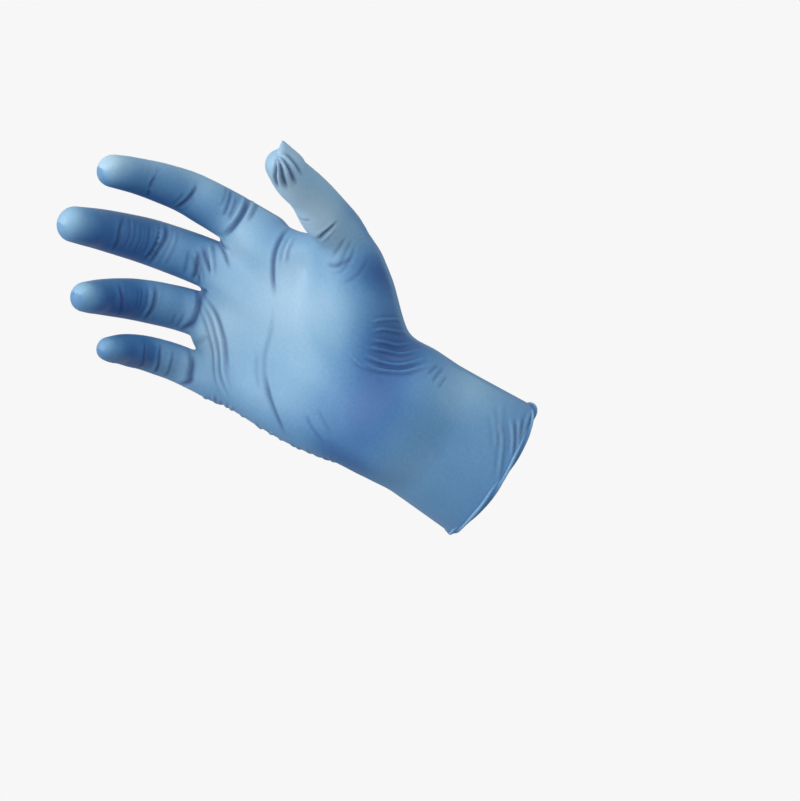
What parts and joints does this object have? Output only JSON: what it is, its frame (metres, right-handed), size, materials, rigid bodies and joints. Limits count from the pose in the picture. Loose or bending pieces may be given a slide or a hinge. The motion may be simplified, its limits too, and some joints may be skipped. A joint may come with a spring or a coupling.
{
  "type": "examination glove",
  "caption": "Right-hand disposable nitrile examination glove holding its worn shape: rolled bead at the cuff, hollow palm, bent fingers and thumb.",
  "frame": {"origin": "centre of the cuff's mouth, in the plane of the rolled bead's lower edge", "axes": "+Z from the mouth along the cuff towards the fingers, the palm faces -Y, the thumb is on the +X side"},
  "size_m": [0.1155, 0.0847, 0.1945],
  "materials": {
    "film": "satin",
    "bead": "satin"
  },
  "bodies": {
    "cuff": {"cuff_bead": "bead", "cuff_sleeve": "film", "wrist_fold": "film"},
    "palm": {"palm_shell": "film", "index_base_fold": "film", "middle_base_fold": "film", "ring_base_fold": "film", "little_base_fold": "film", "thumb_base_fold": "film"},
    "index_proximal": {"index_proximal": "film", "index_middle_fold": "film"},
    "index_middle": {"index_middle": "film", "index_tip_fold": "film"},
    "index_tip": {"index_tip": "film"},
    "middle_proximal": {"middle_proximal": "film", "middle_middle_fold": "film"},
    "middle_middle": {"middle_middle": "film", "middle_tip_fold": "film"},
    "middle_tip": {"middle_tip": "film"},
    "ring_proximal": {"ring_proximal": "film", "ring_middle_fold": "film"},
    "ring_middle": {"ring_middle": "film", "ring_tip_fold": "film"},
    "ring_tip": {"ring_tip": "film"},
    "little_proximal": {"little_proximal": "film", "little_middle_fold": "film"},
    "little_middle": {"little_middle": "film", "little_tip_fold": "film"},
    "little_tip": {"little_tip": "film"},
    "thumb_proximal": {"thumb_proximal": "film", "thumb_tip_fold": "film"},
    "thumb_tip": {"thumb_tip": "film"}
  },
  "joints": [
    {"name": "wrist", "type": "hinge", "parent": "cuff", "child": "palm", "pos_m": [0, 0, 0.05], "axis": [1, 0, 0], "range_deg": [-31, 85], "stiffness_Nm_per_rad": 0.08, "deforming": ["wrist_fold"]},
    {"name": "index_base", "type": "hinge", "parent": "palm", "child": "index_proximal", "pos_m": [0.01831, 0.04773, 0.13611], "axis": [0.9945, 0.0507, 0.0914], "range_deg": [-34, 49], "stiffness_Nm_per_rad": 0.01, "deforming": ["index_base_fold"]},
    {"name": "index_middle", "type": "hinge", "parent": "index_proximal", "child": "index_middle", "pos_m": [0.01667, 0.04861, 0.15351], "axis": [0.9945, 0.0507, 0.0914], "range_deg": [-32, 50], "stiffness_Nm_per_rad": 0.006, "deforming": ["index_middle_fold"]},
    {"name": "index_tip", "type": "hinge", "parent": "index_middle", "child": "index_tip", "pos_m": [0.01542, 0.03767, 0.17313], "axis": [0.9945, 0.0507, 0.0914], "range_deg": [-19, 29], "stiffness_Nm_per_rad": 0.003, "deforming": ["index_tip_fold"]},
    {"name": "middle_base", "type": "hinge", "parent": "palm", "child": "middle_proximal", "pos_m": [-0.00253, 0.04691, 0.13463], "axis": [0.9744, 0.1091, 0.1967], "range_deg": [-37, 46], "stiffness_Nm_per_rad": 0.01, "deforming": ["middle_base_fold"]},
    {"name": "middle_middle", "type": "hinge", "parent": "middle_proximal", "child": "middle_middle", "pos_m": [-0.00676, 0.04668, 0.15571], "axis": [0.9744, 0.1091, 0.1967], "range_deg": [-34, 48], "stiffness_Nm_per_rad": 0.006, "deforming": ["middle_middle_fold"]},
    {"name": "middle_tip", "type": "hinge", "parent": "middle_middle", "child": "middle_tip", "pos_m": [-0.00926, 0.03284, 0.17577], "axis": [0.9744, 0.1091, 0.1967], "range_deg": [-20, 28], "stiffness_Nm_per_rad": 0.003, "deforming": ["middle_tip_fold"]},
    {"name": "ring_base", "type": "hinge", "parent": "palm", "child": "ring_proximal", "pos_m": [-0.02135, 0.04289, 0.12943], "axis": [0.9563, 0.1417, 0.2557], "range_deg": [-54, 29], "stiffness_Nm_per_rad": 0.01, "deforming": ["ring_base_fold"]},
    {"name": "ring_middle", "type": "hinge", "parent": "ring_proximal", "child": "ring_middle", "pos_m": [-0.02572, 0.03628, 0.14942], "axis": [0.9563, 0.1417, 0.2557], "range_deg": [-33, 49], "stiffness_Nm_per_rad": 0.006, "deforming": ["ring_middle_fold"]},
    {"name": "ring_tip", "type": "hinge", "parent": "ring_middle", "child": "ring_tip", "pos_m": [-0.02697, 0.01896, 0.16372], "axis": [0.9563, 0.1417, 0.2557], "range_deg": [-19, 28], "stiffness_Nm_per_rad": 0.003, "deforming": ["ring_tip_fold"]},
    {"name": "little_base", "type": "hinge", "parent": "palm", "child": "little_proximal", "pos_m": [-0.03782, 0.03504, 0.12146], "axis": [0.9781, 0.1008, 0.1818], "range_deg": [-64, 19], "stiffness_Nm_per_rad": 0.01, "deforming": ["little_base_fold"]},
    {"name": "little_middle", "type": "hinge", "parent": "little_proximal", "child": "little_middle", "pos_m": [-0.03968, 0.02768, 0.13554], "axis": [0.9781, 0.1008, 0.1818], "range_deg": [-26, 56], "stiffness_Nm_per_rad": 0.006, "deforming": ["little_middle_fold"]},
    {"name": "little_tip", "type": "hinge", "parent": "little_middle", "child": "little_tip", "pos_m": [-0.04017, 0.01407, 0.14573], "axis": [0.9781, 0.1008, 0.1818], "range_deg": [-15, 32], "stiffness_Nm_per_rad": 0.003, "deforming": ["little_tip_fold"]},
    {"name": "thumb_base", "type": "hinge", "parent": "palm", "child": "thumb_proximal", "pos_m": [0.04628, 0.00733, 0.10036], "axis": [0.3246, -0.7113, -0.6235], "range_deg": [-12, 40], "stiffness_Nm_per_rad": 0.01, "deforming": ["thumb_base_fold"]},
    {"name": "thumb_tip", "type": "hinge", "parent": "thumb_proximal", "child": "thumb_tip", "pos_m": [0.05536, -0.00801, 0.12259], "axis": [0.3246, -0.7113, -0.6235], "range_deg": [-14, 56], "stiffness_Nm_per_rad": 0.004, "deforming": ["thumb_tip_fold"]}
  ],
  "couplings": [
    {"joint": "index_tip", "follows": "index_middle", "ratio": 0.57},
    {"joint": "middle_tip", "follows": "middle_middle", "ratio": 0.57},
    {"joint": "ring_tip", "follows": "ring_middle", "ratio": 0.57},
    {"joint": "little_tip", "follows": "little_middle", "ratio": 0.57}
  ]
}
